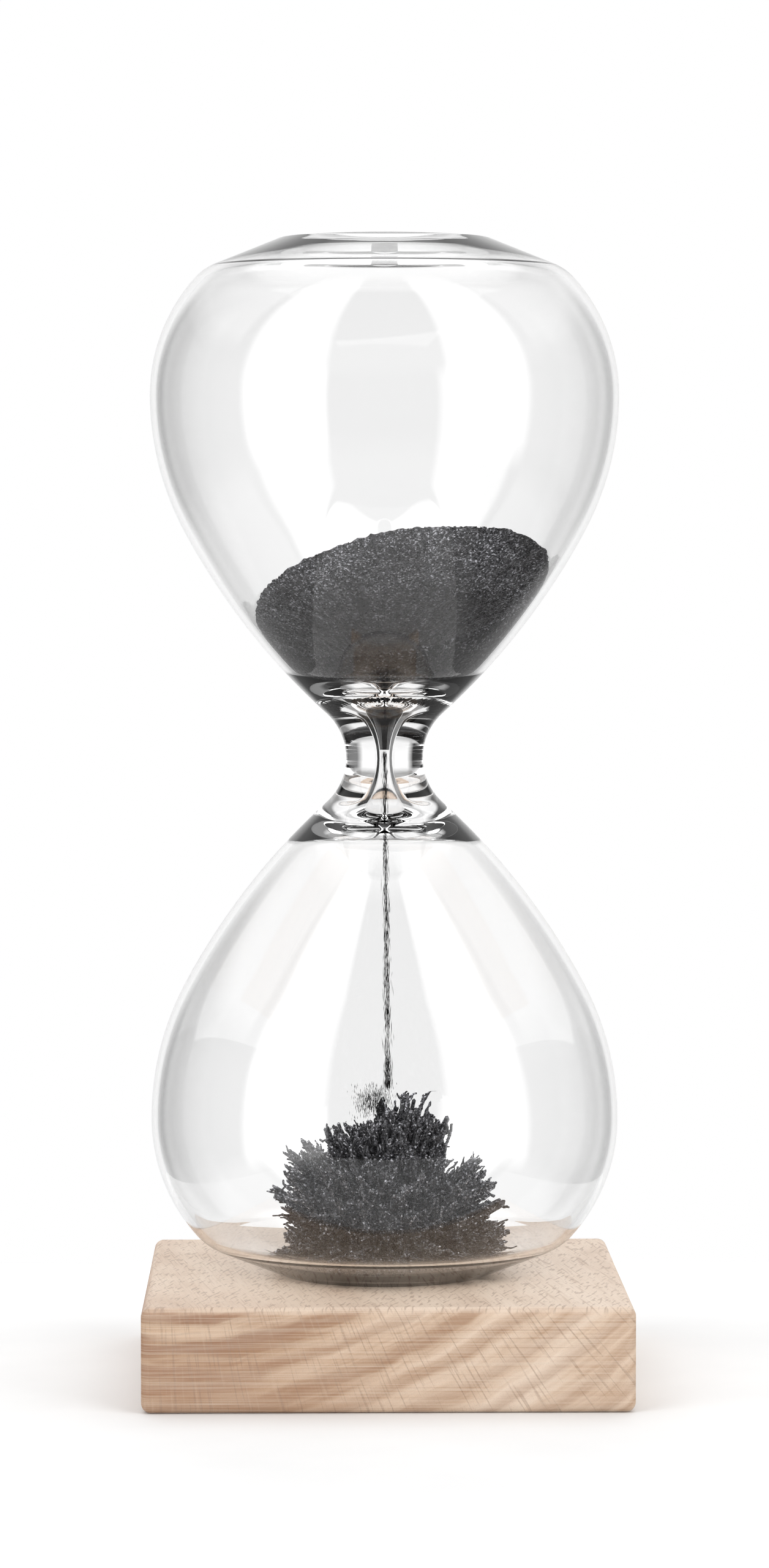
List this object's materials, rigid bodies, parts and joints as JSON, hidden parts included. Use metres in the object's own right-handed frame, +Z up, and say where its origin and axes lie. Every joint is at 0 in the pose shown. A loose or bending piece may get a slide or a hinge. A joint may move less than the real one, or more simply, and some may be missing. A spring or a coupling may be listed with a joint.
{
  "type": "magnetic hourglass",
  "caption": "Blown-glass hourglass of iron filings on a square wooden block with a hidden magnet that draws the falling filings into a spiky sculpture.",
  "frame": {"origin": "centre of the wooden block's underside, which is the bottom centre of the whole object", "axes": "+Z up through the neck of the glass, -Y towards the front face of the block, +X to the right"},
  "size_m": [0.07, 0.07, 0.1674],
  "materials": {
    "beech": "sanded, waxed",
    "plug_wood": "sanded",
    "magnet": "nickel plated",
    "clear_glass": "fire polished",
    "filings": "loose grains"
  },
  "bodies": {
    "base": {"wood_base": "beech", "base_magnet": "magnet", "magnet_plug": "plug_wood"},
    "glass": {"glass_vessel": "clear_glass", "filling_seal": "clear_glass", "falling_stream": "filings"},
    "upper_filings": {"upper_filings": "filings"},
    "lower_filings": {"filings_skirt": "filings", "filings_crown": "filings"}
  },
  "joints": [
    {"name": "turn_over", "type": "hinge", "parent": "base", "child": "glass", "pos_m": [0.041, 0, 0.0837], "axis": [0, 1, 0], "range_deg": [0, 180], "deforming": ["falling_stream"]},
    {"name": "upper_filings_fall", "type": "slide", "parent": "glass", "child": "upper_filings", "axis": [0, 0, 1], "range_m": [0, 0.033]},
    {"name": "lower_filings_fall", "type": "slide", "parent": "glass", "child": "lower_filings", "axis": [0, 0, 1], "range_m": [0, 0.038]}
  ],
  "couplings": [
    {"joint": "upper_filings_fall", "follows": "turn_over", "m_per_rad": 0.0105},
    {"joint": "lower_filings_fall", "follows": "turn_over", "m_per_rad": 0.0121}
  ]
}
